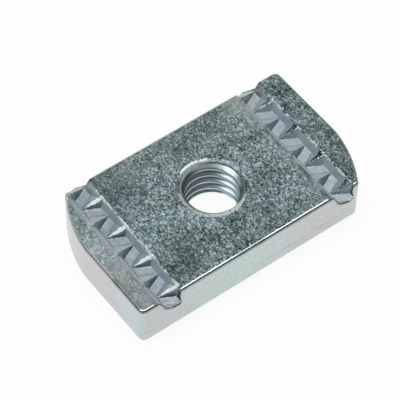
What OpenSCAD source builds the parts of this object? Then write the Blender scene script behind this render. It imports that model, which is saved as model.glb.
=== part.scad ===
// Channel nut: a twist-in nut for slotted steel channel.
// A short bar with a tapped hole. Two opposite corners are rounded so the nut slips
// through the slot, turns a quarter and stops on its two square corners.
// Two grooves on top take the edges of the channel lips. Each groove is pressed with
// a zigzag of teeth that bite into the lip edges when the bolt is tightened.
// Millimetres. X runs along the nut, Y across it, Z up. The origin is the middle of
// the hole at the bottom face, and the toothed face is up.

/* [Body] */
// Length from end to end
body_l = 35; // [30:0.5:40]
// Width across the two long sides
body_w = 19.8; // [16:0.1:22]
// Thickness of the bar
body_t = 6; // [5:0.1:10]
// How much the radius of the two rounded corners exceeds half the length
turn_extra = 0.1; // [0.05:0.05:0.5]
// Rounding of the two square corners, seen from above
corner_r = 0.7; // [0.3:0.1:2]
// Rounding of the edges round the top and bottom faces
edge_r = 0.35; // [0.1:0.05:0.6]

/* [Tapped hole] */
// Diameter inside the crests of the thread
bore_d = 6.65; // [5:0.05:10.2]
// How far each countersink reaches out past the wall of the bore
sink_over = 0.96; // [0.3:0.02:1.6]
// Included angle of the countersinks
sink_angle = 120; // [90:1:120]

/* [Grooves] */
// Distance from the hole axis to the middle of each groove floor
groove_x = 12.85; // [12:0.05:13.4]
// How far the pair of grooves sits off the middle, toward the -X end when negative
groove_shift = -0.15; // [-0.4:0.05:0.4]
// Turn of each groove out of square with the long sides
groove_skew = -1.2; // [-2.5:0.1:2.5]
// Width of the groove floor
groove_floor = 1.95; // [1.6:0.05:2.4]
// Depth of the groove below the top face
groove_depth = 1.5; // [1.1:0.05:1.9]
// Lean of the steeper wall away from upright, on the +X side of each groove
steep_draft = 15; // [5:1:25]
// Lean of the easier wall away from upright, on the -X side of each groove
easy_draft = 30; // [10:1:35]
// Width of the rolled-down land beside the easier wall
land_w = 0.6; // [0.3:0.05:1.2]
// How far that land falls toward the groove
land_drop = 0.2; // [0.1:0.05:0.6]
// How far the press has pushed the metal out of the long sides at the groove ends
swell_out = 0.65; // [0.2:0.05:0.8]
// Radius of that swelling, seen from above
swell_r = 2.6; // [2.4:0.1:3]
// Height over which the swelling dies away below the groove floor
swell_h = 2.6; // [1.5:0.1:3]

/* [Teeth] */
// Distance between neighbouring teeth on one wall
tooth_pitch = 5.2; // [4.8:0.01:6]
// Place along the groove of the middle tooth on the -X wall
tooth_shift = -0.5; // [-2.6:0.05:2.6]
// How much further the teeth of the +X groove, and less far those of the -X groove, are along
tooth_stagger = -0.1; // [-0.4:0.05:0.4]
// Angle of the zigzag legs to the X axis
tooth_lean = 26; // [18:1:28]
// Width of each tooth along Y at its tip
tooth_tip = 0.31; // [0.1:0.01:0.5]
// Lean of the flank on the -Y side of each tooth away from upright
front_draft = 15; // [5:1:30]
// Lean of the flank on the +Y side of each tooth away from upright
back_draft = 52; // [40:1:56]

/* [Hidden] */
$fn = 96;
// overlap of the cutting shapes past the faces they cut
over = 1;
// radius of the two rounded corners
turn_r = body_l / 2 + turn_extra;
// depth of each countersink
sink_h = sink_over / tan(sink_angle / 2);
// height of the groove floor above the bottom face
floor_z = body_t - groove_depth;
// half the floor of a groove
half_floor = groove_floor / 2;
// width of one zigzag leg along Y at the floor
leg_y = tooth_pitch / 2 - groove_floor * tan(tooth_lean) - tooth_tip;
// how deep the upper and lower rims of a swelling are sunk into the bar
swell_sink = 0.2;
// number of tooth places needed on either side of the middle
tooth_rows = ceil(body_w / tooth_pitch / 2) + 1;

// rectangle standing on the axis with its four corners rounded
module round_rect(a, b, r) {
    translate([-a / 2 + r, 0]) square([a - 2 * r, b]);
    translate([-a / 2, r]) square([a, b - 2 * r]);
    for (sx = [-1, 1], y = [r, b - r])
        translate([sx * (a / 2 - r), y]) circle(r);
}

// the bar as rolled, with rounded long edges
module bar_along() {
    rotate([90, 0, 90]) linear_extrude(body_l + 2 * over, center = true)
        round_rect(body_w, body_t, edge_r);
}

// the same bar seen from its side, with rounded end edges
module bar_across() {
    rotate([90, 0, 0]) linear_extrude(body_w + 2 * over, center = true)
        round_rect(body_l, body_t, edge_r);
}

// disc the nut turns in, with rounded edges
module turning_disc() {
    rotate_extrude() {
        square([turn_r - edge_r, body_t]);
        translate([0, edge_r]) square([turn_r, body_t - 2 * edge_r]);
        for (y = [edge_r, body_t - edge_r])
            translate([turn_r - edge_r, y]) circle(edge_r);
    }
}

// quarter of the plan that keeps its square corner
module square_quarter() {
    linear_extrude(body_t) {
        translate([-body_l / 2 + corner_r, -body_w / 2]) square([body_l / 2 - corner_r, body_w / 2]);
        translate([-body_l / 2, -body_w / 2 + corner_r]) square([body_l / 2, body_w / 2 - corner_r]);
        translate([-body_l / 2 + corner_r, -body_w / 2 + corner_r]) circle(corner_r);
    }
}

// bar with two rounded and two square corners
module blank() {
    intersection() {
        bar_along();
        bar_across();
        union() {
            turning_disc();
            square_quarter();
            rotate([0, 0, 180]) square_quarter();
        }
    }
}

// straight trench of the groove, with its two leaning walls and the land beside it
module trench() {
    easy_x = half_floor + (groove_depth - land_drop) * tan(easy_draft);
    land_x = easy_x + land_w * (1 + over / land_drop);
    steep_x = half_floor + (groove_depth + over) * tan(steep_draft);
    translate([0, 0, floor_z]) rotate([90, 0, 0])
        linear_extrude(body_w + 6 * over, center = true)
            polygon([[-half_floor, 0], [half_floor, 0], [steep_x, groove_depth + over],
                     [-land_x, groove_depth + over], [-easy_x, groove_depth - land_drop]]);
}

// one leg of the zigzag, leaning by a, crossing the middle of the groove at y;
// its +Y side is the front flank of one tooth, its -Y side the back flank of the next
module leg(y, a) {
    w = leg_y * cos(a) / 2;
    h = groove_depth + over;
    translate([0, y, floor_z]) rotate([0, 0, a]) rotate([90, 0, 90])
        linear_extrude(groove_floor + 6 * over, center = true)
            polygon([[-w, -over], [w, -over], [w, 0], [w + h * tan(front_draft), h],
                     [-w - h * tan(back_draft), h], [-w, 0]]);
}

// groove with its teeth left standing, the middle tooth on its -X wall at y
module groove(y) {
    intersection() {
        trench();
        union() {
            for (i = [-tooth_rows : tooth_rows]) {
                leg(y + (i + 0.25) * tooth_pitch, -tooth_lean);
                leg(y + (i - 0.25) * tooth_pitch, tooth_lean);
            }
        }
    }
}

// rounded swelling the press leaves on the +Y side at the end of a groove,
// fullest at the groove floor and sunk into the bar above and below
module end_swell() {
    sunk_r = swell_r - swell_out - swell_sink;
    translate([0, body_w / 2 + swell_out - swell_r, floor_z]) {
        translate([0, 0, -swell_h]) cylinder(h = swell_h, r1 = sunk_r, r2 = swell_r);
        cylinder(h = groove_depth - edge_r, r1 = swell_r, r2 = sunk_r);
    }
}

// puts a shape at the groove on one side, -1 or 1
module at_groove(side) {
    translate([side * groove_x + groove_shift, 0, 0]) rotate([0, 0, groove_skew]) children();
}

// bore and its two countersinks
module tapped_hole() {
    r = bore_d / 2;
    translate([0, 0, -over]) cylinder(h = body_t + 2 * over, r = r);
    for (m = [0, 1])
        translate([0, 0, m * body_t]) mirror([0, 0, m])
            translate([0, 0, -over])
                cylinder(h = sink_h + over, r1 = r + sink_over + over * tan(sink_angle / 2), r2 = r);
}

module channel_nut() {
    color([0.70, 0.72, 0.73]) difference() {
        union() {
            blank();
            for (side = [-1, 1])
                at_groove(side) {
                    end_swell();
                    rotate([0, 0, 180]) end_swell();
                }
        }
        for (side = [-1, 1])
            at_groove(side) groove(tooth_shift + side * tooth_stagger);
        tapped_hole();
    }
}

channel_nut();
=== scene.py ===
# %% [markdown]
# # A zinc-plated channel nut
# A channel nut is a short bar of pressed steel with a tapped hole. It drops through the slot of a
# steel channel, turns a quarter, and its two toothed grooves bite into the channel's lips.
# This lesson dresses the solid nut: it gives it a real thread, crisp pressed teeth, rounded edges
# and a zinc finish that differs from face to face.

# %% Load the solid nut
import math
import bpy
import numpy as np
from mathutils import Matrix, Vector, geometry


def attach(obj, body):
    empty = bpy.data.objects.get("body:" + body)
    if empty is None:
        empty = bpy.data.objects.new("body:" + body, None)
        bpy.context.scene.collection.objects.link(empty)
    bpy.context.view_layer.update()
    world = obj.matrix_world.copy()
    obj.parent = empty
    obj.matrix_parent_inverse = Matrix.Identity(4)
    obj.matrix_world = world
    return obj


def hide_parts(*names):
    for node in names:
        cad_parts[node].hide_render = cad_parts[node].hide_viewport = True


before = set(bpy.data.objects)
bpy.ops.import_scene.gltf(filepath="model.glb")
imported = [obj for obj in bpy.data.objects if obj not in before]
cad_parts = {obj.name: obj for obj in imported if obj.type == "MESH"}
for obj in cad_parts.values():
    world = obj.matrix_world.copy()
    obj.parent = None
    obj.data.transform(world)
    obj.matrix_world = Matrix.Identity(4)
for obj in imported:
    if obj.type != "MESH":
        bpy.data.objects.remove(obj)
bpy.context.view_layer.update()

# %% [markdown]
# ## The camera
# The nut fills the picture and its parallel edges hardly converge, so the lens is long and stands
# about 26 cm away. The place and the turn were worked out from the corners of the nut.

# %% Camera
bpy.context.scene.view_settings.view_transform = "Standard"
camera_data = bpy.data.cameras.new("camera")
camera_data.sensor_width = 36
camera_data.lens = 192.522
camera_data.clip_start = 0.01
camera = bpy.data.objects.new("camera", camera_data)
camera.location = (-0.09653, -0.12256, 0.20860)
camera.rotation_euler = [math.radians(a) for a in (37.243, -0.673, -36.817)]
bpy.context.scene.collection.objects.link(camera)
bpy.context.scene.camera = camera
print("camera", round(camera.location.length * 1000), "mm from the hole")

# %% [markdown]
# ## The pressed grooves as a height map
# A press leaves no undercuts, so the whole top can be written as one height for each point of the
# plan. That is simpler than cutting teeth out of a mesh, and it lets every edge be as soft as the
# press left it: a soft maximum makes a fillet, a soft minimum makes a rounded edge.

# %% Sizes of the bar and its grooves, in mm
LENGTH, WIDTH, THICK = 35.0, 19.8, 6.0
TURN_R = 17.6
SINK_R, SINK_SLOPE = 4.285, math.tan(math.radians(60))
GROOVE_X, GROOVE_SHIFT, GROOVE_SKEW = 12.85, -0.15, math.radians(-1.2)
HALF_FLOOR, DEPTH = 0.975, 1.5
FLOOR_Z = THICK - DEPTH
STEEP, EASY = math.tan(math.radians(15)), math.tan(math.radians(30))
LAND_W, LAND_DROP = 0.6, 0.2
EASY_X = HALF_FLOOR + (DEPTH - LAND_DROP) * EASY
EDGE_X = HALF_FLOOR + DEPTH * STEEP
PITCH, LEAN, TOOTH_AT = 5.2, math.radians(26), {-1: -0.4, 1: -0.6}
FRONT, BACK = math.tan(math.radians(15)), math.tan(math.radians(52))
LEG_HALF = (PITCH / 2 - 2 * HALF_FLOOR * math.tan(LEAN) - 0.31) * math.cos(LEAN) / 2


def soft_max(a, b, k):
    h = np.clip(0.5 + 0.5 * (a - b) / k, 0, 1)
    return b + (a - b) * h + k * h * (1 - h)


def soft_min(a, b, k):
    return -soft_max(-a, -b, k)


def smooth(a):
    a = np.clip(a, 0, 1)
    return a * a * (3 - 2 * a)


print("floor height", FLOOR_Z, "mm, wall edge", round(EDGE_X, 2), "mm from the groove's middle")


# %% Height of the pressed surface
def in_groove(x, y, side):
    """Place of a point across one groove (u) and along it from a tooth (v); side is -1 or 1."""
    dx, c, s = x - side * GROOVE_X - GROOVE_SHIFT, math.cos(GROOVE_SKEW), math.sin(GROOVE_SKEW)
    return dx * c + y * s, y * c - dx * s - TOOTH_AT[side]


def zigzag(u, v):
    """Distance of a point from the middle of each zigzag leg, and the leg's lean."""
    for i in range(-3, 4):
        for place, lean in ((i + 0.25, -LEAN), (i - 0.25, LEAN)):
            yield (v - place * PITCH) * math.cos(lean) - u * math.sin(lean), lean


def flank_height(across):
    """Height above the floor of the front flank on one side of a leg and the back flank on the other."""
    return np.maximum((across - LEG_HALF) / FRONT, (-across - LEG_HALF) / BACK)


def crest(u, i):
    """Place along the groove, and height, of the front edge of right-wall tooth i, at u across it."""
    a, b = 1 / FRONT, 1 / BACK
    low_leg = (i + 0.25) * PITCH - u * math.tan(LEAN)
    high_leg = (i + 0.75) * PITCH + u * math.tan(LEAN)
    v = (a * low_leg + b * high_leg) / (a + b) + LEG_HALF * (a - b) / (math.cos(LEAN) * (a + b))
    sharp = ((v - low_leg) * math.cos(LEAN) - LEG_HALF) * a
    height = np.minimum(sharp, DEPTH)
    return v - (sharp - height) * FRONT / math.cos(LEAN), height


def rolled_edge(u, v, i, side):
    """Height of the slope to which the press rolled that edge, and how far along the slope a point is."""
    edge, height = crest(u, i)
    drop = (0.03 + 0.36 * smooth((u + 0.7) / 1.3)) * (1.0 if side < 0 else 0.35)
    along = v - edge + drop * FRONT / math.cos(LEAN)
    return np.where(np.abs(v - edge) < 0.8, height - drop + 0.4 * along, 99.0), along


def behind_crest(u, v, reach):
    """True on a wedge behind each right-wall crest that is reach mm wide at the wall and ends at the tip."""
    on = np.zeros(np.shape(u), bool)
    for i in range(-3, 4):
        edge, height = crest(u, i)
        on |= (u > -0.9) & (v > edge - 0.05) & (v < edge + reach * np.clip((u + 0.9) / 2, 0, 1))
    return on


def wall_heights(u, v):
    """Height above the floor of the easy wall with its land, and of the steep wall, rolled over at its back end."""
    land = DEPTH - LAND_DROP + (-u - EASY_X) * LAND_DROP / LAND_W
    steep = (u - HALF_FLOOR) / (STEEP + 0.35 * smooth((v - 8.6) / 1.5))
    return soft_min((-u - HALF_FLOOR) / EASY, land, 0.12), steep


def top_height(x, y):
    z = np.full(np.shape(x), THICK)
    for side in (-1, 1):
        u, v = in_groove(x, y, side)
        teeth = np.full(np.shape(u), 99.0)
        for across, lean in zigzag(u, v):
            teeth = soft_min(teeth, flank_height(across), 0.06)
        for i in range(-3, 4):
            teeth = soft_min(teeth, rolled_edge(u, v, i, side)[0], 0.04)
        walls = soft_max(*wall_heights(u, v), 0.06)
        rise = soft_max(soft_max(walls, teeth, 0.06), 0 * u, 0.05)
        z = soft_min(z, FLOOR_Z + rise, 0.08)
    return soft_min(z, THICK - (SINK_R - np.hypot(x, y)) / SINK_SLOPE, 0.10)


# %% [markdown]
# ## The outline and the sides
# Two opposite corners follow the circle that the nut turns in, the other two are nearly square.
# The outline is walked once as a closed line of points, and the sides hang from it in rows, so the
# rounding of the edges and the metal that the press pushed out of the groove ends are simple
# offsets of each row.

# %% Outline of the bar
def arc(cx, cy, r, start, stop):
    a = np.radians(np.linspace(start, stop, max(8, int(abs(stop - start) * r / 2))))
    return np.stack([cx + r * np.cos(a), cy + r * np.sin(a)], 1)


def dense_outline():
    corner = math.degrees(math.asin(WIDTH / 2 / TURN_R))
    end = math.degrees(math.acos(LENGTH / 2 / TURN_R))
    half = np.concatenate([arc(0, 0, TURN_R, -corner, -end),
                           arc(LENGTH / 2 - 0.7, WIDTH / 2 - 0.7, 0.7, 0, 90)])
    loop = np.concatenate([half, -half])
    closed = np.concatenate([loop, loop[:1]])
    run = np.concatenate([[0], np.cumsum(np.linalg.norm(np.diff(closed, axis=0), axis=1))])
    at = np.arange(0, run[-1], 0.02)
    line = np.stack([np.interp(at, run, closed[:, k]) for k in (0, 1)], 1)
    kernel = np.exp(-0.5 * (np.arange(-40, 41) * 0.02 / 0.18) ** 2)
    kernel /= kernel.sum()
    wrap = np.concatenate([line[-40:], line, line[:40]])
    return np.stack([np.convolve(wrap[:, k], kernel, "valid") for k in (0, 1)], 1)


line = dense_outline()
ahead = np.roll(line, -3, 0) - np.roll(line, 3, 0)
outward = np.stack([ahead[:, 1], -ahead[:, 0]], 1) / np.linalg.norm(ahead, axis=1)[:, None]
near_end = np.zeros(len(line), bool)
for side in (-1, 1):
    u, v = in_groove(line[:, 0], line[:, 1], side)
    near_end |= (u > -2.9) & (u < 2.2) & (np.abs(v) > 8)
keep, gap = [], 99
for i, fine in enumerate(near_end):
    gap += 0.02
    if gap >= (0.055 if fine else 0.24):
        keep.append(i)
        gap = 0
rim, rim_out = line[keep], outward[keep]
n_rim = len(rim)
print(n_rim, "points round the outline")

# %% Metal pushed out at the groove ends
SWELL_OUT, SWELL_R, SWELL_H = 0.65, 2.6, 2.6


def swelling(p, z):
    """How far the side stands out at outline point p and height z."""
    out = np.zeros(len(p))
    below = np.clip((FLOOR_Z - z) / SWELL_H, 0, 1)
    above = np.clip((z - FLOOR_Z) / (DEPTH - 0.35), 0, 1)
    r = SWELL_R - (SWELL_OUT + 0.2) * np.maximum(below ** 2 * (3 - below) / 2, above)
    for side in (-1, 1):
        for end in (-1, 1):
            cy = end * (WIDTH / 2 + SWELL_OUT - SWELL_R)
            cx = side * GROOVE_X + GROOVE_SHIFT - cy * math.sin(GROOVE_SKEW)
            reach = np.sqrt(np.maximum(r ** 2 - (p[:, 0] - cx) ** 2, 0)) + abs(cy) - WIDTH / 2
            out = np.maximum(out, np.where(p[:, 1] * end > 8, soft_max(reach, 0 * reach, 0.12), 0))
    return out


# %% Top rim: where the rounding of the edge begins
rim_z = np.full(n_rim, THICK)
for _ in range(6):
    rim_r = 0.10 + 0.22 * smooth((rim_z - THICK + 0.2) / 0.18)
    rim_top = rim + rim_out * (swelling(rim, rim_z - rim_r) - rim_r)[:, None]
    rim_z = 0.5 * rim_z + 0.5 * top_height(rim_top[:, 0], rim_top[:, 1])
rim_z = top_height(rim_top[:, 0], rim_top[:, 1])
print("rim heights", round(float(rim_z.min()), 2), "to", round(float(rim_z.max()), 2), "mm")

# %% [markdown]
# ## The skin of the top
# The plan is filled with points, close together in the grooves and sparse on the flats, and joined
# by a Delaunay triangulation that keeps to the outline and to the rim of the hole. Each point then
# takes its height from the map.

# %% Points of the plan
BORE_N, BORE_TOP_R = 160, 3.9
turn = -np.arange(BORE_N) * 2 * math.pi / BORE_N
ring = np.stack([np.cos(turn), np.sin(turn)], 1)


def inside(points, loop):
    hit = np.zeros(len(points), bool)
    for (ax, ay), (bx, by) in zip(loop, np.roll(loop, -1, 0)):
        if ay != by:
            x = ax + (points[:, 1] - ay) * (bx - ax) / (by - ay)
            hit ^= ((ay > points[:, 1]) != (by > points[:, 1])) & (points[:, 0] < x)
    return hit


fill = [ring * r for r in (3.98, 4.06, 4.13, 4.19, 4.25, 4.31, 4.37, 4.46, 4.65)]
gx, gy = np.meshgrid(np.arange(-17.3, 17.4, 0.6), np.arange(-9.8, 9.9, 0.6))
flat = np.stack([gx.ravel(), gy.ravel()], 1)
flat = flat[np.hypot(flat[:, 0], flat[:, 1]) > 5.0]
for side in (-1, 1):
    u, v = np.meshgrid(np.arange(-2.75, 1.9, 0.085), np.arange(-10.8, 10.85, 0.07))
    u, v = u.ravel(), v.ravel()
    c, s = math.cos(GROOVE_SKEW), math.sin(GROOVE_SKEW)
    fill.append(np.stack([side * GROOVE_X + GROOVE_SHIFT + u * c - v * s, u * s + v * c], 1))
    fu, fv = in_groove(flat[:, 0], flat[:, 1], side)
    flat = flat[(fu < -2.85) | (fu > 2.0)]
fill = np.concatenate(fill + [flat])
fill = fill[inside(fill, rim_top - rim_out * 0.03)]
print(len(fill), "points inside the outline")

# %% Triangulate the plan
plan = np.concatenate([rim_top, ring * BORE_TOP_R, fill])
edges = [(i, (i + 1) % n_rim) for i in range(n_rim)]
edges += [(n_rim + i, n_rim + (i + 1) % BORE_N) for i in range(BORE_N)]
made = geometry.delaunay_2d_cdt([Vector(p) for p in plan], edges, [], 1, 1e-7)
top_xy = np.array([tuple(p) for p in made[0]])
top_tris = np.array(made[2])
place = np.full(len(plan), -1)
for new, olds in enumerate(made[3]):
    place[olds] = new
middle = top_xy[top_tris].mean(1)
top_tris = top_tris[np.hypot(middle[:, 0], middle[:, 1]) > BORE_TOP_R - 0.01]
a, b, c = (top_xy[top_tris[:, k]] for k in range(3))
turned = (b - a)[:, 0] * (c - a)[:, 1] - (b - a)[:, 1] * (c - a)[:, 0] < 0
top_tris[turned] = top_tris[turned][:, ::-1]
top_z = top_height(top_xy[:, 0], top_xy[:, 1])
top_z[place[:n_rim]] = rim_z
print(len(top_tris), "triangles on top")

# %% [markdown]
# ## The thread
# The hole is tapped M8 with a pitch of 1.25 mm. Its wall is a grid of angle by height whose radius
# follows the 60 degree thread form, moved up by one pitch for each turn, so it is a real right-hand
# helix. The countersinks simply win wherever they are wider.

# %% Wall of the tapped hole
MINOR, MAJOR, LEAD = 3.325, 4.0, 1.25


def bore_radius(angle, z):
    turnwise = (z / LEAD - angle / (2 * math.pi)) % 1.0
    from_root = np.abs(turnwise - 0.5) * LEAD
    flank = MAJOR - (from_root - LEAD / 16) / math.tan(math.radians(30))
    thread = soft_max(soft_min(flank, MAJOR + 0 * flank, 0.08), MINOR + 0 * flank, 0.10)
    cone = SINK_R - min(THICK - z, z) * SINK_SLOPE
    return soft_max(thread, cone + 0 * flank, 0.06)


start_z = float(top_height(np.array([BORE_TOP_R]), np.array([0.0]))[0])
bore_z = np.concatenate([np.linspace(start_z, 0.24, 130)[1:], [0.16, 0.08, 0.0]])
bore_rows = [np.column_stack([ring * bore_radius(turn, z)[:, None], np.full(BORE_N, z)]) for z in bore_z]
print(len(bore_rows), "rows of", BORE_N, "points in the hole")

# %% Rows of the sides
EDGE_LOW = 0.3
side_rows = []
for a in np.radians([18, 36, 54, 72, 90]):
    z = rim_z - rim_r * (1 - np.cos(a))
    off = swelling(rim, rim_z - rim_r) - rim_r * (1 - np.sin(a))
    side_rows.append(np.column_stack([rim + rim_out * off[:, None], z]))
for f in np.linspace(0, 1, 25)[1:]:
    z = (rim_z - rim_r) * (1 - f) + EDGE_LOW * f
    side_rows.append(np.column_stack([rim + rim_out * swelling(rim, z)[:, None], z]))
for a in np.radians([22, 45, 67, 90]):
    off = -EDGE_LOW * (1 - np.cos(a))
    side_rows.append(np.column_stack([rim + rim_out * off, np.full(n_rim, EDGE_LOW * (1 - np.sin(a)))]))
print(len(side_rows), "rows of", n_rim, "points on the sides")

# %% Underside
under = np.concatenate([side_rows[-1][:, :2], bore_rows[-1][:, :2]])
made = geometry.delaunay_2d_cdt([Vector(p) for p in under], edges, [], 1, 1e-7)
assert len(made[0]) == len(under)
back_place = np.array([olds[0] for olds in made[3]])
under_tris = back_place[np.array(made[2])]
middle = under[under_tris].mean(1)
under_tris = under_tris[np.hypot(middle[:, 0], middle[:, 1]) > SINK_R - 0.02]
a, b, c = (under[under_tris[:, k]] for k in range(3))
up = (b - a)[:, 0] * (c - a)[:, 1] - (b - a)[:, 1] * (c - a)[:, 0] > 0
under_tris[up] = under_tris[up][:, ::-1]
print(len(under_tris), "triangles underneath")

# %% [markdown]
# ## One closed skin
# The four patches share their border points, so they are joined into one closed mesh. Each patch
# keeps its own finish, chosen face by face.

# %% Join the patches
points = [np.column_stack([top_xy, top_z])] + side_rows + bore_rows
starts = np.cumsum([0] + [len(p) for p in points])
points = np.concatenate(points)
loops = [np.arange(a, b) for a, b in zip(starts[1:], starts[2:])]
side_loops = [place[:n_rim]] + loops[:len(side_rows)]
bore_loops = [place[n_rim:n_rim + BORE_N]] + loops[len(side_rows):]
PITTED, PRESSED, SATIN, CUT = range(4)
middle = points[top_tris].mean(1)
from_hole = np.hypot(middle[:, 0], middle[:, 1])
faces = top_tris.tolist()
rough_top = middle[:, 2] > THICK - 0.14
for side in (-1, 1):
    u, v = in_groove(middle[:, 0], middle[:, 1], side)
    rough_top |= (u > HALF_FLOOR + 0.1) & (u < 2.2) & (v > 9.2)
rough_top |= behind_crest(u, v, 1.0)
angle = np.degrees(np.arctan2(middle[:, 1], middle[:, 0]))
scraped = SINK_R - 0.02 + 0.2 * np.interp(angle, [-160, -140, -80, -65], [0, 1, 1, 0])
smooth_sink = (from_hole < scraped) & ((angle < -48) | (angle > 60)) & ((angle < 130) | (angle > 155))
finish = np.where(smooth_sink, CUT, np.where(rough_top | (from_hole < SINK_R), PITTED, PRESSED)).tolist()
for stack, look in ((side_loops, SATIN), (bore_loops, CUT)):
    for upper, lower in zip(stack, stack[1:]):
        quads = np.stack([upper, lower, np.roll(lower, -1), np.roll(upper, -1)], 1)
        faces += quads.tolist()
        finish += [look] * len(quads)
under_ids = np.concatenate([side_loops[-1], bore_loops[-1]])
faces += under_ids[under_tris].tolist()
finish += [PITTED] * len(under_tris)

skin = bpy.data.meshes.new("nut_skin")
skin.from_pydata((points / 1000).tolist(), [], faces)
skin.shade_smooth()
skin.set_sharp_from_angle(angle=math.radians(40))
nut = bpy.data.objects.new("nut_skin", skin)
bpy.context.scene.collection.objects.link(nut)
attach(nut, "root")
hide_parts("channel_nut")
print(len(faces), "faces,", sum(len(f) - 2 for f in faces), "triangles")

# %% [markdown]
# ## Where the metal is worn, with painted light and shade
# The press leaves its marks unevenly, so a few numbers are stored on each point: how burnished it
# is, with painted highlights (tooth crests, the groove's upper edge where the die slid, and the rim
# of the hole), how matt (the scuffed tongues of the teeth), how dark (painted shade on the groove
# facets, the lips, the front edges and round the hole, and a darker tone on parts of the top) and
# how flat the press has ironed the pitted face.

# %% Slow wobble that keeps worn edges and painted bands from looking ruled
def wobble(x, y, size, seed):
    table = np.random.default_rng(seed).random((64, 64)) * 2 - 1
    gx, gy = np.asarray(x) / size, np.asarray(y) / size
    ix, iy = np.floor(gx).astype(int), np.floor(gy).astype(int)
    fx, fy = smooth(gx - ix), smooth(gy - iy)
    corner = lambda a, b: table[(ix + a) % 64, (iy + b) % 64]
    low = corner(0, 0) * (1 - fx) + corner(1, 0) * fx
    high = corner(0, 1) * (1 - fx) + corner(1, 1) * fx
    return low * (1 - fy) + high * fy


# %% Facets of the grooves
FLOOR, STEEP_WALL, EASY_WALL, LEFT_FRONT, LEFT_BACK, RIGHT_FRONT, RIGHT_BACK = range(7)


def facets(u, v):
    """Which facet of a groove shows at each point; left and right teeth stand on the easy and steep wall."""
    easy, steep = wall_heights(u, v)
    kind = np.select([steep > np.maximum(easy, 0.02), easy > 0.02], [STEEP_WALL, EASY_WALL], FLOOR)
    teeth, flank_kind = np.full(np.shape(u), 99.0), np.zeros(np.shape(u), int)
    for across, lean in zigzag(u, v):
        height = flank_height(across)
        front, back = (LEFT_FRONT, RIGHT_BACK) if lean > 0 else (RIGHT_FRONT, LEFT_BACK)
        flank_kind = np.where(height < teeth, np.where(across > 0, front, back), flank_kind)
        teeth = np.minimum(teeth, height)
    return np.where(teeth > np.maximum(np.maximum(easy, steep), 0.02), flank_kind, kind)


# %% Burnished places with painted highlights, matt places, painted shade and ironed places
x, y, z = points.T
burnish, matt, dark, ironed, hue, blue = (np.zeros(len(points)) for _ in range(6))
on_top = np.arange(len(points)) < starts[1]
for side, strength in ((-1, 1.0), (1, 0.3)):
    u, v = in_groove(x, y, side)
    here = on_top & (u > -2.6) & (u < 1.6)
    kind = np.where(here, facets(u, v), -1)
    ragged = wobble(u, v, 0.35, 11 + side) + 0.7 * wobble(u, v, 0.16, 21 + side)
    # Painted shade: the floor and the front and back flanks of the teeth are darkened, each by its own amount.
    for name, value in ((FLOOR, 0.28 * strength), (LEFT_FRONT, 0.14), (RIGHT_FRONT, 0.5 * strength - 0.15),
                        (RIGHT_BACK, 0.30)):
        dark = np.where(kind == name, value + 0.1 * ragged, dark)
    for name, value in ((STEEP_WALL, 0.75), (RIGHT_FRONT, 1 - strength), (RIGHT_BACK, 0.4), (LEFT_BACK, 0.9),
                        (EASY_WALL, 0.9)):
        matt = np.where(kind == name, value, matt)
    blue = np.where(kind == STEEP_WALL, 0.9, np.where(kind == RIGHT_BACK, 0.4, blue))
    # Painted shade at the front end of the steep wall.
    front_end = smooth((-8.8 - v) / 0.3) * (kind == STEEP_WALL)
    dark = np.maximum(dark, 0.6 * front_end)
    matt, blue = matt * (1 - front_end), blue * (1 - front_end)
    back_end = smooth((v - 8.6) / 0.8) * (kind == STEEP_WALL)
    ironed = np.maximum(ironed, (0.4 + 0.4 * strength) * back_end)
    matt, blue = matt * (1 - 0.6 * back_end), blue * (1 - back_end)
    if side > 0:
        dark = np.where(here & behind_crest(u, v, 1.0), 0.0, dark)
    # Painted highlight: a ragged bright band along each rolled crest, and a bright wedge behind the left groove's
    # crests.
    for i in range(-3, 4):
        slope, along = rolled_edge(u, v, i, side)
        band = (np.abs(z - FLOOR_Z - slope) < 0.06) * smooth((along - 0.04 * strength + 0.10 * ragged) / 0.06)
        band = np.maximum(band, behind_crest(u, v, 0.55 + 0.3 * ragged) * (side < 0))
        band = band * smooth((EDGE_X + 0.22 - u) / 0.1)
        burnish = np.maximum(burnish, (0.45 + 0.35 * strength) * band * here)
    # Painted highlight along the upper edge of the steep wall.
    on_edge = smooth((0.15 - np.abs(u - EDGE_X - 0.02)) / 0.08) * (z > THICK - 0.4) * (v < 9) * here
    whole = 0.60 + 0.2 * wobble(v, u, 0.9, 31) if side < 0 else 0.48 + 0.3 * wobble(v, u, 0.8, 32)
    burnish = np.maximum(burnish, on_edge * whole)
    patchy = 1 - (1 - strength) * smooth(0.5 + wobble(u, v, 0.8, 51)) * smooth((6 - v) / 3)
    ironed = np.maximum(ironed, smooth((u + 2.6) / 0.5) * (u < -1) * here * patchy)
bar = smooth((-14.7 - x) / 0.7) * (0.75 + 0.2 * wobble(x, y, 1.6, 5)) * (1 - 0.55 * smooth((y - 0.5) / 3))
ironed = np.maximum(ironed, bar)
u, v = in_groove(x, y, 1)
ironed = np.maximum(ironed, smooth((u + 3.7) / 1.1) * (u < 0) * (0.35 + 0.5 * smooth((v - 3) / 5)))
ironed = np.maximum(ironed, 0.8 * smooth((u + 5.2) / 2) * (u < 0) * smooth((v - 6.5) / 2))
# The top is darker towards the front, at the right end, towards the back and beside the hole.
far = smooth((y - 3.5) / 3) * (x < 11.5)
film = 0.20 * smooth((-y - 1) / 7) + 0.12 * smooth((x - 13.5) / 1) + 0.10 * far
beside = smooth((-x - 6) / 2.5) * smooth((np.abs(y + 0.5) - 1.5) / 3) * (1 - 0.4 * smooth((-y - 6) / 2.5))
film += 0.30 * beside * (x > -12)
dark = np.where(on_top & (z > THICK - 0.2), np.maximum(dark, film), dark)
ironed = np.maximum(ironed, 0.12 * far * on_top)
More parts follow.
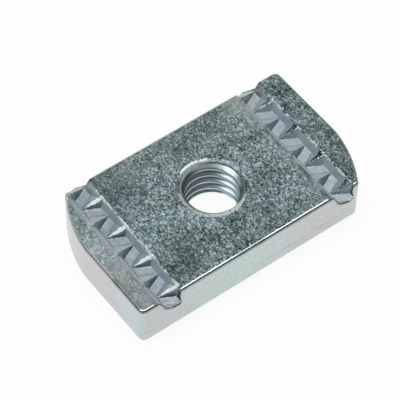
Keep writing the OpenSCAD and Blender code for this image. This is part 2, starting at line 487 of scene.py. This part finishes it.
# A few painted glints near the right front corner of the top.
burnish = np.maximum(burnish, 0.2 * smooth((x - 13.8) / 0.5) * smooth((-y - 1) / 4) * on_top)
from_hole = np.hypot(x, y)
angle = np.degrees(np.arctan2(y, x))
scraped = SINK_R + 0.2 * np.interp(angle, [-160, -140, -80, -65], [0, 1, 1, 0])
sunk = on_top & (from_hole < scraped)
matt = np.where(sunk, np.interp(angle, [-60, -45, 120, 150], [0.85, 0.5, 0.6, 0.85]), matt)
# Painted shade on the countersink, darkest on two sides.
dark = np.where(sunk, np.interp(angle, [-60, -40, -25, -10, 110, 130, 140, 160],
                                [0.0, 0.4, 0.3, 0.05, 0.1, 0.4, 0.1, 0.0]), dark)
ironed = np.where(sunk, np.interp(angle, [-15, 0, 60, 70, 125, 140], [0.0, 0.5, 0.5, 0.0, 0.0, 0.65]), ironed)
low_ring = ~on_top & (z > THICK - 0.7) & (from_hole < 4.0)
upper_cone = low_ring & (z > THICK - 0.32)
matt = np.where(upper_cone, np.interp(angle, [-75, -60, 20, 60, 150, 160], [0.85, 0.0, 0.0, 0.6, 0.6, 0.85]), matt)
# Painted shade round the top of the bore, which also dims its highlight on one side.
dark = np.where(low_ring, np.interp(angle, [-75, -60, -15, 0, 20, 30, 60, 90],
                                    [0.0, 0.75, 0.75, 0.0, 0.1, 0.4, 0.2, 0.0]), dark)
# Painted shadow in the first turn of the thread on one side.
first_turn = np.interp(angle, [85, 105, 150, 165], [0.0, 0.7, 0.7, 0.0])
dark = np.where(low_ring & ~upper_cone, np.maximum(dark, first_turn), dark)
in_bore = ~on_top & (from_hole < 4.05)
# One side of the bore is darker towards its top.
stain = np.interp(angle, [-75, -60, -28, -15], [0.0, 0.9, 0.9, 0.0]) * smooth((z - 3.8) / 1.0)
dark = np.where(in_bore, np.maximum(dark, stain), dark)
# Painted highlight: a ragged bright band on the rim of the hole on one side.
nicked = np.interp(angle, [45, 65, 85, 112, 124], [0.0, 0.48, 0.6, 0.64, 0.0])
inner = np.interp(angle, [60, 90, 115], [0.05, 0.08, 0.14])
at_rim = on_top & (from_hole > SINK_R - inner) & (from_hole < SINK_R + 0.22)
burnish = np.where(at_rim, np.maximum(burnish, nicked), burnish)
print("burnished points:", int((burnish > 0.5).sum()), "matt points:", int((matt > 0.5).sum()))

# %% Painted shade on the lips and front edges, and the drift of the tint along the sides
run = np.concatenate([[0], np.cumsum(np.linalg.norm(np.diff(rim, axis=0), axis=1))])
# Painted shade: a dark dotted line along the lips of the groove ends, and on edges that face the front.
lip = smooth((THICK - 0.25 - rim_z) / 0.1)
facing = smooth(0.5 - 2 * rim_out[:, 1]) * smooth(0.8 - 0.8 * rim_out[:, 0] - 0.6 * rim_out[:, 1])
hue_run = np.interp(rim[:, 0], [-17, -14, -9, -3, 2, 6, 10, 16], [0.8, 0.8, 0.35, 0.05, 0.35, 0.9, 0.95, 0.5])
hue_end = np.interp(rim[:, 1], [-9, -6, -4, 0, 5, 9], [0.3, 0.6, 0.9, 1.0, 0.8, 0.6])
hue_rim = np.where(np.abs(rim_out[:, 1]) > 0.7, hue_run, hue_end)
blue_rim = smooth((-16.8 - rim[:, 0]) / 0.5) * (0.1 + 0.8 * smooth((-rim[:, 1] - 4.5) / 3))
# Painted shade that dims the highlight on parts of the front upper edge and round the left front corner.
dull = np.interp(rim[:, 0], [-14.6, -14.2, -11, -6, -5, 7, 8, 14], [0.75, 0.3, 0.0, 0.0, 0.5, 0.5, 0.0, 0.0])
dull *= 0.7 + 0.5 * wobble(rim[:, 0], rim[:, 1], 1.1, 61)
dull *= smooth((-rim_out[:, 1] - 0.5) / 0.3) + smooth((-rim_out[:, 0] - 0.5) / 0.3) * smooth((-rim[:, 1] - 2) / 4)
for row, loop in enumerate(side_loops):
    hue[loop], blue[loop] = hue_rim, blue_rim
    if row < 6:
        dots = smooth(0.8 + 1.6 * wobble(rim[:, 0], rim[:, 1], 0.3, 41 + row))
        film = np.maximum(dull, 0.35 * facing * (row > 1))
        dark[loop] = np.maximum(dark[loop], np.maximum(0.9 * lip * dots, film))
for name, values in (("burnish", burnish), ("matt", matt), ("dark", dark), ("ironed", ironed),
                     ("hue", hue), ("blue", blue)):
    skin.attributes.new(name, "FLOAT", "POINT").data.foreach_set("value", np.clip(values, 0, 1).astype(np.float32))
print("dark lip points:", int((lip > 0.5).sum()), "of", n_rim)

# %% [markdown]
# ## The zinc finishes
# The nut is steel with a thin bright zinc plating. The same plating looks different on each
# face because of the metal under it: rolled and pickled on top, pressed in the grooves, sheared on
# the sides and cut in the thread. All four are metals with the default IOR. Each finish also mixes
# in painted shade and painted highlights.

# %% Colour and node helpers
def colour(hex_text):
    parts = [int(hex_text[i:i + 2], 16) / 255 for i in (1, 3, 5)]
    return [c / 12.92 if c <= 0.04045 else ((c + 0.055) / 1.055) ** 2.4 for c in parts] + [1]


def per_metre(size_mm):
    """Scale of a pattern whose marks are size_mm apart."""
    return 1000 / size_mm


def add(tree, kind, inputs, ramp=(), **settings):
    """A node with its settings, its linked or fixed inputs and, for a colour ramp, its stops."""
    node = tree.nodes.new(kind)
    for name, value in settings.items():
        setattr(node, name, value)
    for name, value in inputs.items():
        if isinstance(value, bpy.types.NodeSocket):
            tree.links.new(value, node.inputs[name])
        else:
            node.inputs[name].default_value = value
    for i, (at, stop) in enumerate(ramp):
        element = node.color_ramp.elements[i] if i < 2 else node.color_ramp.elements.new(at)
        element.position, element.color = at, stop
    return node


def new_finish(name):
    finish_material = bpy.data.materials.new(name)
    finish_material.use_nodes = True
    tree = finish_material.node_tree
    tree.nodes.clear()
    skin.materials.append(finish_material)
    return tree, add(tree, "ShaderNodeTexCoord", {}).outputs["Object"]


# %% [markdown]
# ### Pitted zinc on the rolled face
# Hot-rolled bar is pickled before plating, which leaves pits about 0.2 mm apart. Their floors hold
# a dark grey-green film and their rims are lighter, partly their own colour and partly painted
# glints, so the face looks speckled.

# %% Pitted zinc
tree, at = new_finish("pitted_zinc")
rolled = add(tree, "ShaderNodeMapping", {"Vector": at, "Scale": (1.0, 0.75, 1.0)}).outputs["Vector"]
pits = add(tree, "ShaderNodeTexNoise", {"Vector": rolled, "Scale": per_metre(0.18), "Detail": 3.0,
                                        "Roughness": 0.55, "Distortion": 0.5})
grains = add(tree, "ShaderNodeTexVoronoi", {"Vector": rolled, "Scale": per_metre(0.42)})
patches = add(tree, "ShaderNodeTexNoise", {"Vector": at, "Scale": per_metre(2.4), "Detail": 2.0})
# Painted highlight: burnished places, and the highest pits, turn near white and lose their shine.
worn = add(tree, "ShaderNodeAttribute", {}, attribute_name="burnish").outputs["Fac"]
worn = add(tree, "ShaderNodeMath", {0: pits.outputs["Fac"], 1: 1.5, 2: worn}, operation="MULTIPLY_ADD").outputs[0]
worn = add(tree, "ShaderNodeMapRange", {"Value": worn, "From Min": 1.15, "From Max": 1.35}).outputs["Result"]
held = add(tree, "ShaderNodeAttribute", {}, attribute_name="dark").outputs["Fac"]
flat_part = add(tree, "ShaderNodeAttribute", {}, attribute_name="ironed").outputs["Fac"]
shift = add(tree, "ShaderNodeMath", {0: patches.outputs["Fac"], 1: 0.26, 2: pits.outputs["Fac"]},
            operation="MULTIPLY_ADD")
level = add(tree, "ShaderNodeMath", {0: grains.outputs["Distance"], 1: -0.22, 2: shift.outputs[0]},
            operation="MULTIPLY_ADD")
level = add(tree, "ShaderNodeMath", {0: level.outputs[0], 1: 0.02}, operation="SUBTRACT")
speckle = add(tree, "ShaderNodeValToRGB", {"Fac": level.outputs[0]},
              ramp=[(0.30, colour("#263236")), (0.44, colour("#586a6d")), (0.56, colour("#8a9b9b")),
                    (0.70, colour("#ced8d6"))])
tinge = add(tree, "ShaderNodeValToRGB", {"Fac": patches.outputs["Fac"]},
            ramp=[(0.38, colour("#f6f8f0")), (0.62, colour("#f2f6fb"))])
speckle = add(tree, "ShaderNodeMix", {"Factor": 1.0, "A": speckle.outputs["Color"], "B": tinge.outputs["Color"]},
              data_type="RGBA", blend_type="MULTIPLY")
calm = add(tree, "ShaderNodeValToRGB", {"Fac": level.outputs[0]},
           ramp=[(0.30, colour("#74817f")), (0.70, colour("#b4c1be"))])
face = add(tree, "ShaderNodeMix", {"Factor": flat_part, "A": speckle.outputs["Result"],
                                   "B": calm.outputs["Color"]}, data_type="RGBA")
# The dark attribute mixes in the grey-green film colour: a darker tone on parts of the top, and painted shade round
# the hole and at the edges.
filmed = add(tree, "ShaderNodeMix", {"Factor": held, "A": face.outputs["Result"], "B": colour("#1c2426")},
             data_type="RGBA")
shown = add(tree, "ShaderNodeMix", {"Factor": worn, "A": filmed.outputs["Result"],
                                    "B": colour("#f1fdfd")}, data_type="RGBA")
rough = add(tree, "ShaderNodeMapRange", {"Value": pits.outputs["Fac"], "From Min": 0.3, "From Max": 0.7,
                                         "To Min": 0.50, "To Max": 0.36})
bare = add(tree, "ShaderNodeMath", {0: worn, 1: flat_part}, operation="MAXIMUM")
shine = add(tree, "ShaderNodeMapRange", {"Value": bare.outputs[0], "To Min": 1.0, "To Max": 0.0})
dents = add(tree, "ShaderNodeBump", {"Height": pits.outputs["Fac"], "Strength": 0.5, "Distance": 0.00005})
metal = add(tree, "ShaderNodeBsdfPrincipled", {"Base Color": shown.outputs["Result"],
                                               "Metallic": shine.outputs["Result"],
                                               "Roughness": rough.outputs["Result"],
                                               "Normal": dents.outputs["Normal"]})
add(tree, "ShaderNodeOutputMaterial", {"Surface": metal.outputs["BSDF"]})

# %% [markdown]
# ### Pressed zinc in the grooves
# The die squeezed the metal smooth, so the plating there is even, bluish and a little glossier. The
# front flanks carry painted shade, the tongues were scuffed matt, and the crests were rolled over;
# their ragged bright bands are painted highlights.

# %% Pressed zinc
tree, at = new_finish("pressed_zinc")
film = add(tree, "ShaderNodeTexNoise", {"Vector": at, "Scale": per_metre(0.9), "Detail": 3.0})
grain = add(tree, "ShaderNodeTexNoise", {"Vector": at, "Scale": per_metre(0.22), "Detail": 3.0})
tint = add(tree, "ShaderNodeValToRGB", {"Fac": film.outputs["Fac"]},
           ramp=[(0.32, colour("#a3afb5")), (0.68, colour("#b8c3c8"))])
worn = add(tree, "ShaderNodeAttribute", {}, attribute_name="burnish").outputs["Fac"]
worn = add(tree, "ShaderNodeMath", {0: grain.outputs["Fac"], 1: 2.0, 2: worn}, operation="MULTIPLY_ADD").outputs[0]
worn = add(tree, "ShaderNodeMapRange", {"Value": worn, "From Min": 1.4, "From Max": 1.6}).outputs["Result"]
scuffed = add(tree, "ShaderNodeAttribute", {}, attribute_name="matt").outputs["Fac"]
held = add(tree, "ShaderNodeAttribute", {}, attribute_name="dark").outputs["Fac"]
# Painted shade: the dark attribute darkens the groove facets and the groove ends.
filmed = add(tree, "ShaderNodeMix", {"Factor": held, "A": tint.outputs["Color"], "B": colour("#39454a")},
             data_type="RGBA")
tongue = add(tree, "ShaderNodeMix", {"Factor": scuffed, "A": filmed.outputs["Result"],
                                     "B": colour("#adbabb")}, data_type="RGBA")
cool = add(tree, "ShaderNodeAttribute", {}, attribute_name="blue").outputs["Fac"]
cooled = add(tree, "ShaderNodeMix", {"Factor": cool, "A": tongue.outputs["Result"], "B": colour("#afc3d0")},
             data_type="RGBA")
flat_part = add(tree, "ShaderNodeAttribute", {}, attribute_name="ironed").outputs["Fac"]
eased = add(tree, "ShaderNodeMix", {"Factor": flat_part, "A": cooled.outputs["Result"], "B": colour("#aebab7")},
            data_type="RGBA")
# Painted highlight: burnished crests and edges turn near white.
shown = add(tree, "ShaderNodeMix", {"Factor": worn, "A": eased.outputs["Result"], "B": colour("#f1fdfd")},
            data_type="RGBA")
bare = add(tree, "ShaderNodeMath", {0: worn, 1: scuffed}, operation="MAXIMUM")
rough = add(tree, "ShaderNodeMapRange", {"Value": bare.outputs[0], "To Min": 0.38, "To Max": 0.5})
shine = add(tree, "ShaderNodeMapRange", {"Value": bare.outputs[0], "To Min": 1.0, "To Max": 0.0})
dents = add(tree, "ShaderNodeBump", {"Height": grain.outputs["Fac"], "Strength": 0.4, "Distance": 0.00002})
metal = add(tree, "ShaderNodeBsdfPrincipled", {"Base Color": shown.outputs["Result"],
                                               "Metallic": shine.outputs["Result"],
                                               "Roughness": rough.outputs["Result"],
                                               "Normal": dents.outputs["Normal"]})
add(tree, "ShaderNodeOutputMaterial", {"Surface": metal.outputs["BSDF"]})

# %% [markdown]
# ### Satin zinc on the sides
# The sides are sheared, smooth above and torn below a faint line. The clear passivation over the
# zinc is thin enough to drift between a green, a blue and a pink tint every few millimetres.

# %% Satin zinc
tree, at = new_finish("satin_zinc")
drift = add(tree, "ShaderNodeAttribute", {}, attribute_name="hue").outputs["Fac"]
cool = add(tree, "ShaderNodeAttribute", {}, attribute_name="blue").outputs["Fac"]
held = add(tree, "ShaderNodeAttribute", {}, attribute_name="dark").outputs["Fac"]
grain = add(tree, "ShaderNodeTexNoise", {"Vector": at, "Scale": per_metre(0.35), "Detail": 3.0})
tint = add(tree, "ShaderNodeValToRGB", {"Fac": drift},
           ramp=[(0.0, colour("#bfd1cc")), (1.0, colour("#c6c5c6")), (0.5, colour("#c3cdcd"))])
cooled = add(tree, "ShaderNodeMix", {"Factor": cool, "A": tint.outputs["Color"], "B": colour("#c2ced4")},
             data_type="RGBA")
speck = add(tree, "ShaderNodeValToRGB", {"Fac": grain.outputs["Fac"]},
            ramp=[(0.28, colour("#eef0f0")), (0.50, colour("#ffffff"))])
flecked = add(tree, "ShaderNodeMix", {"Factor": 1.0, "A": cooled.outputs["Result"], "B": speck.outputs["Color"]},
              data_type="RGBA", blend_type="MULTIPLY")
height = add(tree, "ShaderNodeSeparateXYZ", {"Vector": at}).outputs["Z"]
wave = add(tree, "ShaderNodeTexNoise", {"Vector": at, "Scale": per_metre(6.0), "Detail": 2.0})
line_at = add(tree, "ShaderNodeMapRange", {"Value": wave.outputs["Fac"], "To Min": 0.0009, "To Max": 0.0024})
off_line = add(tree, "ShaderNodeMath", {0: height, 1: line_at.outputs["Result"]}, operation="SUBTRACT")
off_line = add(tree, "ShaderNodeMath", {0: off_line.outputs[0]}, operation="ABSOLUTE")
on_line = add(tree, "ShaderNodeMapRange", {"Value": off_line.outputs[0], "From Min": 0.00004,
                                           "From Max": 0.00011, "To Min": 1.0, "To Max": 0.0})
comes = add(tree, "ShaderNodeTexNoise", {"Vector": at, "Scale": per_metre(4.0), "Detail": 1.0})
shows = add(tree, "ShaderNodeMapRange", {"Value": comes.outputs["Fac"], "From Min": 0.45, "From Max": 0.65,
                                         "To Max": 0.3})
torn = add(tree, "ShaderNodeMath", {0: on_line.outputs["Result"], 1: shows.outputs["Result"]},
           operation="MULTIPLY")
# Painted shade: the dark attribute darkens the lips of the groove ends and the edges that face the front.
darkest = add(tree, "ShaderNodeMath", {0: torn.outputs[0], 1: held}, operation="MAXIMUM")
shown = add(tree, "ShaderNodeMix", {"Factor": darkest.outputs[0], "A": flecked.outputs["Result"],
                                    "B": colour("#2f3335")}, data_type="RGBA")
dents = add(tree, "ShaderNodeBump", {"Height": grain.outputs["Fac"], "Strength": 0.15, "Distance": 0.00001})
metal = add(tree, "ShaderNodeBsdfPrincipled", {"Base Color": shown.outputs["Result"], "Metallic": 1.0,
                                               "Roughness": 0.26, "Normal": dents.outputs["Normal"]})
add(tree, "ShaderNodeOutputMaterial", {"Surface": metal.outputs["BSDF"]})

# %% [markdown]
# ### Cut zinc in the thread
# A tap cuts clean, bright metal with faint rings round the hole, and the plating keeps that shine.
# Painted shade darkens parts of the countersink and the bore, and painted highlights mark the rim.

# %% Cut zinc
tree, at = new_finish("cut_zinc")
rings = add(tree, "ShaderNodeMapping", {"Vector": at, "Scale": (0.1, 0.1, 1.0)})
marks = add(tree, "ShaderNodeTexNoise", {"Vector": rings.outputs["Vector"], "Scale": per_metre(0.2),
                                         "Detail": 2.0})
tint = add(tree, "ShaderNodeValToRGB", {"Fac": marks.outputs["Fac"]},
           ramp=[(0.30, colour("#9db0b5")), (0.70, colour("#c4d2d5"))])
scuffed = add(tree, "ShaderNodeAttribute", {}, attribute_name="matt").outputs["Fac"]
held = add(tree, "ShaderNodeAttribute", {}, attribute_name="dark").outputs["Fac"]
nicks = add(tree, "ShaderNodeTexNoise", {"Vector": at, "Scale": per_metre(0.25), "Detail": 2.0})
dull = add(tree, "ShaderNodeValToRGB", {"Fac": nicks.outputs["Fac"]},
           ramp=[(0.36, colour("#8a9795")), (0.64, colour("#d8e1dd"))])
sink = add(tree, "ShaderNodeMix", {"Factor": scuffed, "A": tint.outputs["Color"],
                                   "B": dull.outputs["Color"]}, data_type="RGBA")
# Painted shade: the dark attribute darkens the countersink and the bore on some sides.
filmed = add(tree, "ShaderNodeMix", {"Factor": held, "A": sink.outputs["Result"], "B": colour("#4a5557")},
             data_type="RGBA")
# Painted highlight: burnished places on the rim turn near white.
worn = add(tree, "ShaderNodeAttribute", {}, attribute_name="burnish").outputs["Fac"]
worn = add(tree, "ShaderNodeMath", {0: nicks.outputs["Fac"], 1: 1.2, 2: worn}, operation="MULTIPLY_ADD").outputs[0]
worn = add(tree, "ShaderNodeMapRange", {"Value": worn, "From Min": 0.95, "From Max": 1.15}).outputs["Result"]
shown = add(tree, "ShaderNodeMix", {"Factor": worn, "A": filmed.outputs["Result"], "B": colour("#f1fdfd")},
            data_type="RGBA")
bare = add(tree, "ShaderNodeMath", {0: worn, 1: scuffed}, operation="MAXIMUM")
shine = add(tree, "ShaderNodeMapRange", {"Value": bare.outputs[0], "To Min": 1.0, "To Max": 0.0})
dents = add(tree, "ShaderNodeBump", {"Height": marks.outputs["Fac"], "Strength": 0.2, "Distance": 0.00002})
metal = add(tree, "ShaderNodeBsdfPrincipled", {"Base Color": shown.outputs["Result"],
                                               "Metallic": shine.outputs["Result"], "Roughness": 0.33,
                                               "Normal": dents.outputs["Normal"]})
add(tree, "ShaderNodeOutputMaterial", {"Surface": metal.outputs["BSDF"]})
skin.polygons.foreach_set("material_index", np.array(finish, np.int32))
print("finishes:", [m.name for m in skin.materials])

# %% [markdown]
# ## The table and the light
# The nut lies on a white table that sweeps up behind it, in a dark room under one long lamp panel.
# The metal is dark where it mirrors the room and light where it mirrors the table, which is why its
# top is darker than its sides. The panel draws the thin bright lines along the outer upper edges;
# the bright bands on the tooth crests and the groove edges are painted highlights.

# %% White table
bpy.ops.mesh.primitive_plane_add(size=4.0, location=(0, 0, 0))
table = bpy.context.object
table.name = "table"
table_material = bpy.data.materials.new("white_table")
table_material.use_nodes = True
tree = table_material.node_tree
tree.nodes.clear()
ray = add(tree, "ShaderNodeLightPath", {})
seen = add(tree, "ShaderNodeMath", {0: ray.outputs["Is Camera Ray"], 1: ray.outputs["Is Glossy Ray"]},
           operation="MAXIMUM")
seen = add(tree, "ShaderNodeMath", {0: seen.outputs[0], 1: ray.outputs["Is Transmission Ray"]},
           operation="MAXIMUM")
share = add(tree, "ShaderNodeMath", {0: seen.outputs[0], 1: 0.92}, operation="MULTIPLY")
matt_white = add(tree, "ShaderNodeBsdfDiffuse", {"Color": colour("#f8f8f8")})
white = add(tree, "ShaderNodeEmission", {"Color": (1, 1, 1, 1), "Strength": 1.0})
both = add(tree, "ShaderNodeMixShader", {"Fac": share.outputs[0], 1: matt_white.outputs[0], 2: white.outputs[0]})
add(tree, "ShaderNodeOutputMaterial", {"Surface": both.outputs[0]})
table.data.materials.append(table_material)

# %% Dark room with a white sweep behind
world = bpy.data.worlds.new("room")
bpy.context.scene.world = world
world.use_nodes = True
tree = world.node_tree
tree.nodes.clear()
way = add(tree, "ShaderNodeTexCoord", {}).outputs["Generated"]
height = add(tree, "ShaderNodeSeparateXYZ", {"Vector": way}).outputs["Z"]
behind = add(tree, "ShaderNodeSeparateXYZ", {"Vector": way}).outputs["Y"]
back_part = add(tree, "ShaderNodeMapRange", {"Value": behind, "From Min": -0.25, "From Max": 0.15},
                interpolation_type="SMOOTHSTEP")
sweep_part = add(tree, "ShaderNodeMapRange", {"Value": behind, "From Min": 0.58, "From Max": 0.88},
                 interpolation_type="SMOOTHSTEP")
front = add(tree, "ShaderNodeValToRGB", {"Fac": height},
            ramp=[(0.0, (0.06, 0.06, 0.06, 1)), (1.0, (0.40, 0.40, 0.41, 1)), (0.8, (0.18, 0.18, 0.185, 1))])
back = add(tree, "ShaderNodeValToRGB", {"Fac": height},
           ramp=[(0.0, (0.10, 0.10, 0.10, 1)), (1.0, (0.42, 0.42, 0.43, 1)), (0.4, (0.17, 0.17, 0.175, 1)),
                 (0.75, (0.42, 0.42, 0.43, 1))])
sweep = add(tree, "ShaderNodeValToRGB", {"Fac": height},
            ramp=[(0.0, (0.97, 0.97, 0.97, 1)), (1.0, (0.42, 0.42, 0.43, 1)), (0.5, (0.80, 0.80, 0.80, 1))])
around = add(tree, "ShaderNodeMix", {"Factor": back_part.outputs["Result"], "A": front.outputs["Color"],
                                     "B": back.outputs["Color"]}, data_type="RGBA")
around = add(tree, "ShaderNodeMix", {"Factor": sweep_part.outputs["Result"], "A": around.outputs["Result"],
                                     "B": sweep.outputs["Color"]}, data_type="RGBA")
glow = add(tree, "ShaderNodeBackground", {"Color": around.outputs["Result"], "Strength": 1.0})
add(tree, "ShaderNodeOutputWorld", {"Surface": glow.outputs[0]})

# %% Lamp panel above the nut
PANEL_X, PANEL_Y, PANEL_H, RADIANCE = 1.08, 0.38, 0.8, 4.0
panel_data = bpy.data.lights.new("panel", "AREA")
panel_data.shape, panel_data.size, panel_data.size_y = "RECTANGLE", PANEL_X, PANEL_Y
panel_data.energy = RADIANCE * math.pi * PANEL_X * PANEL_Y
panel = bpy.data.objects.new("panel", panel_data)
panel.location = (-0.06, 0.09, PANEL_H)
bpy.context.scene.collection.objects.link(panel)
print("panel of", round(panel_data.energy, 2), "W")
